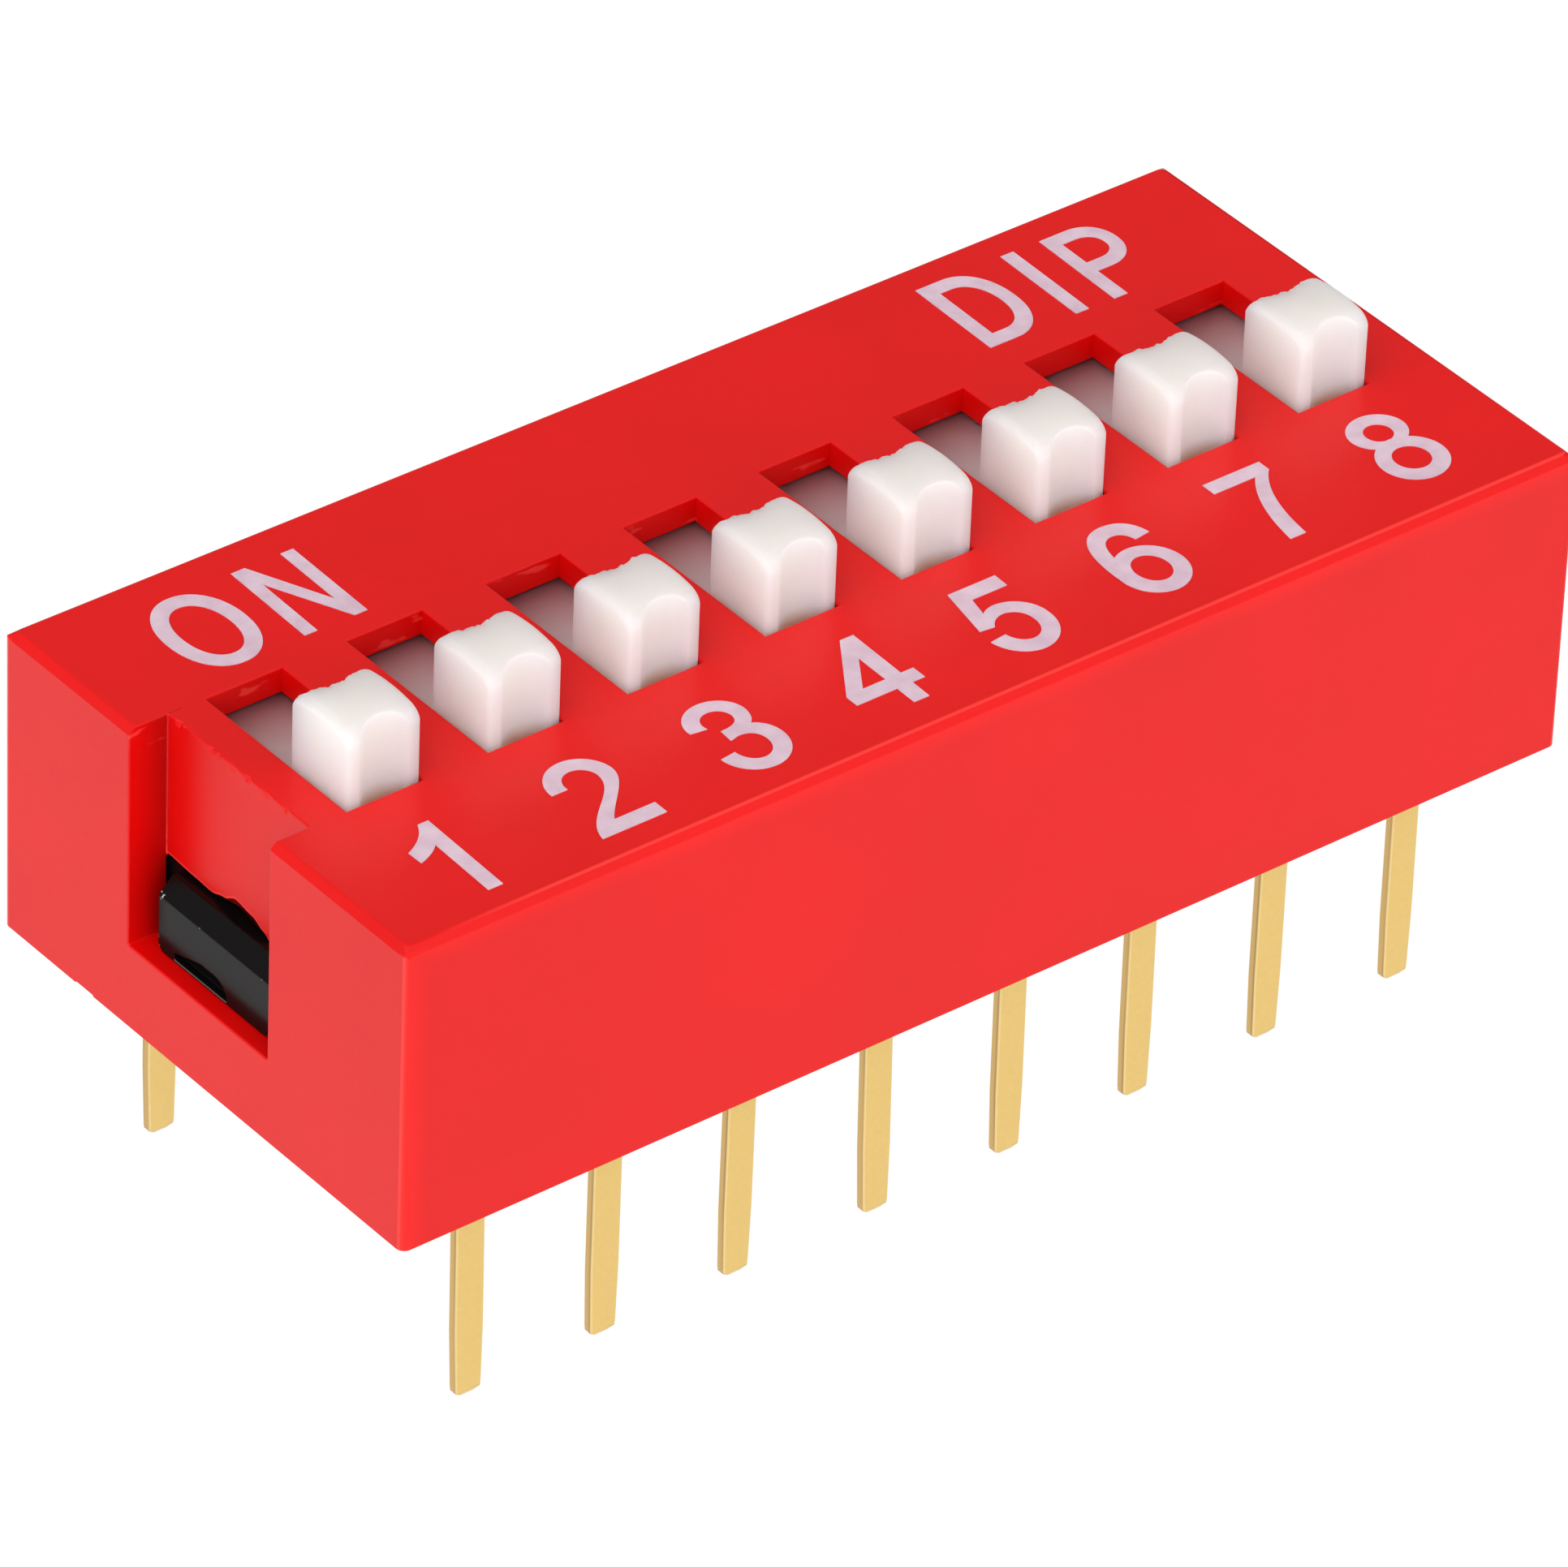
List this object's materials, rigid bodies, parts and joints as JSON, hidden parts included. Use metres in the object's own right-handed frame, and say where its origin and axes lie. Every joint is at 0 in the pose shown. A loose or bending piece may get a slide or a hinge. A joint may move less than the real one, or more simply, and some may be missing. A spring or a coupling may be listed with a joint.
{
  "type": "dip switch",
  "caption": "Low red switch block for circuit boards: a row of white slide knobs in windows along its top, ON and number marks, an end latch and flat gold pins below.",
  "frame": {"origin": "centre of the pin grid on the seating plane, which is the underside of the cover and of the base", "axes": "+X along the switch from position 1 to position 8; -Y is the numbered OFF side and +Y the ON side; +Z away from the board"},
  "size_m": [0.0218, 0.0098, 0.0108],
  "materials": {
    "red_cover": "moulded red thermoplastic, semi-gloss",
    "black_base": "moulded black glass-filled thermoplastic, semi-matt",
    "white_knob": "moulded natural white nylon, smooth",
    "spring_metal": "gold-plated spring bronze, smooth",
    "gold_pin": "gold-plated copper alloy, bright"
  },
  "bodies": {
    "housing": {"cover": "red_cover", "base": "black_base", "pin_off_1": "gold_pin", "pin_off_2": "gold_pin", "pin_off_3": "gold_pin", "pin_off_4": "gold_pin", "pin_off_5": "gold_pin", "pin_off_6": "gold_pin", "pin_off_7": "gold_pin", "pin_off_8": "gold_pin", "pin_on_1": "gold_pin", "pin_on_2": "gold_pin", "pin_on_3": "gold_pin", "pin_on_4": "gold_pin", "pin_on_5": "gold_pin", "pin_on_6": "gold_pin", "pin_on_7": "gold_pin", "pin_on_8": "gold_pin"},
    "slider_1": {"actuator_1": "white_knob", "contact_1": "spring_metal"},
    "slider_2": {"actuator_2": "white_knob", "contact_2": "spring_metal"},
    "slider_3": {"actuator_3": "white_knob", "contact_3": "spring_metal"},
    "slider_4": {"actuator_4": "white_knob", "contact_4": "spring_metal"},
    "slider_5": {"actuator_5": "white_knob", "contact_5": "spring_metal"},
    "slider_6": {"actuator_6": "white_knob", "contact_6": "spring_metal"},
    "slider_7": {"actuator_7": "white_knob", "contact_7": "spring_metal"},
    "slider_8": {"actuator_8": "white_knob", "contact_8": "spring_metal"}
  },
  "joints": [
    {"name": "switch_1", "type": "slide", "parent": "housing", "child": "slider_1", "axis": [0, 1, 0], "range_m": [0, 0.00199]},
    {"name": "switch_2", "type": "slide", "parent": "housing", "child": "slider_2", "axis": [0, 1, 0], "range_m": [0, 0.00199]},
    {"name": "switch_3", "type": "slide", "parent": "housing", "child": "slider_3", "axis": [0, 1, 0], "range_m": [0, 0.00199]},
    {"name": "switch_4", "type": "slide", "parent": "housing", "child": "slider_4", "axis": [0, 1, 0], "range_m": [0, 0.00199]},
    {"name": "switch_5", "type": "slide", "parent": "housing", "child": "slider_5", "axis": [0, 1, 0], "range_m": [0, 0.00199]},
    {"name": "switch_6", "type": "slide", "parent": "housing", "child": "slider_6", "axis": [0, 1, 0], "range_m": [0, 0.00199]},
    {"name": "switch_7", "type": "slide", "parent": "housing", "child": "slider_7", "axis": [0, 1, 0], "range_m": [0, 0.00199]},
    {"name": "switch_8", "type": "slide", "parent": "housing", "child": "slider_8", "axis": [0, 1, 0], "range_m": [0, 0.00199]}
  ]
}
